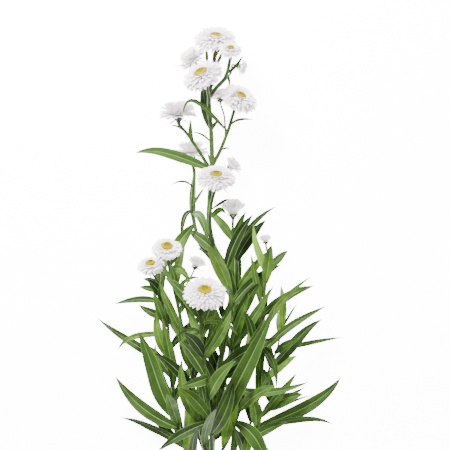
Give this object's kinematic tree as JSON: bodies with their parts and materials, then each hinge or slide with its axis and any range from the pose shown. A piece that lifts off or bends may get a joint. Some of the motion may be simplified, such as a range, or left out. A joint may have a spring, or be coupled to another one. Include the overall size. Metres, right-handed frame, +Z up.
{
  "type": "aster stem",
  "caption": "Cut flowering aster stem lying on its side, branching into leafy shoots with double white blooms around yellow discs.",
  "frame": {"origin": "Middle of the footprint on the surface that the stem lies on: the lowest leaf tips and blooms touch z = 0.", "axes": "+Z up. +Y along the main stem from its cut end to its topmost bloom. +X to the right seen from above with +Y away."},
  "size_m": [0.251, 0.5057, 0.0852],
  "materials": {
    "leaf_green": "satin",
    "ray_white": "matte",
    "disc_yellow": "matte"
  },
  "bodies": {
    "root": {"main_stem": "leaf_green", "upper_left_stem": "leaf_green", "left_stem": "leaf_green", "left_outer_stem": "leaf_green", "front_stem": "leaf_green", "right_stem": "leaf_green", "right_outer_stem": "leaf_green", "far_right_stem": "leaf_green", "low_right_stem": "leaf_green", "bloom_01_rays": "ray_white", "bloom_01_disc": "disc_yellow", "bloom_02_rays": "ray_white", "bloom_02_disc": "disc_yellow", "bloom_03_rays": "ray_white", "bloom_03_disc": "disc_yellow", "bloom_04_rays": "ray_white", "bloom_04_disc": "disc_yellow", "bloom_05_rays": "ray_white", "bloom_05_disc": "disc_yellow", "bloom_06_rays": "ray_white", "bloom_06_disc": "disc_yellow", "bloom_07_rays": "ray_white", "bloom_07_disc": "disc_yellow", "bloom_08_rays": "ray_white", "bloom_08_disc": "disc_yellow", "bloom_09_rays": "ray_white", "bloom_09_disc": "disc_yellow", "bloom_10_rays": "ray_white", "bloom_10_disc": "disc_yellow", "bloom_11_rays": "ray_white", "bloom_11_disc": "disc_yellow", "bloom_12_rays": "ray_white", "bloom_12_disc": "disc_yellow", "bloom_13_rays": "ray_white", "bloom_13_disc": "disc_yellow", "bloom_14_rays": "ray_white", "bloom_14_disc": "disc_yellow", "bloom_15_rays": "ray_white", "bloom_15_disc": "disc_yellow", "bloom_16_rays": "ray_white", "bloom_16_disc": "disc_yellow", "bloom_2b_rays": "ray_white", "bloom_2b_disc": "disc_yellow"}
  },
  "joints": []
}
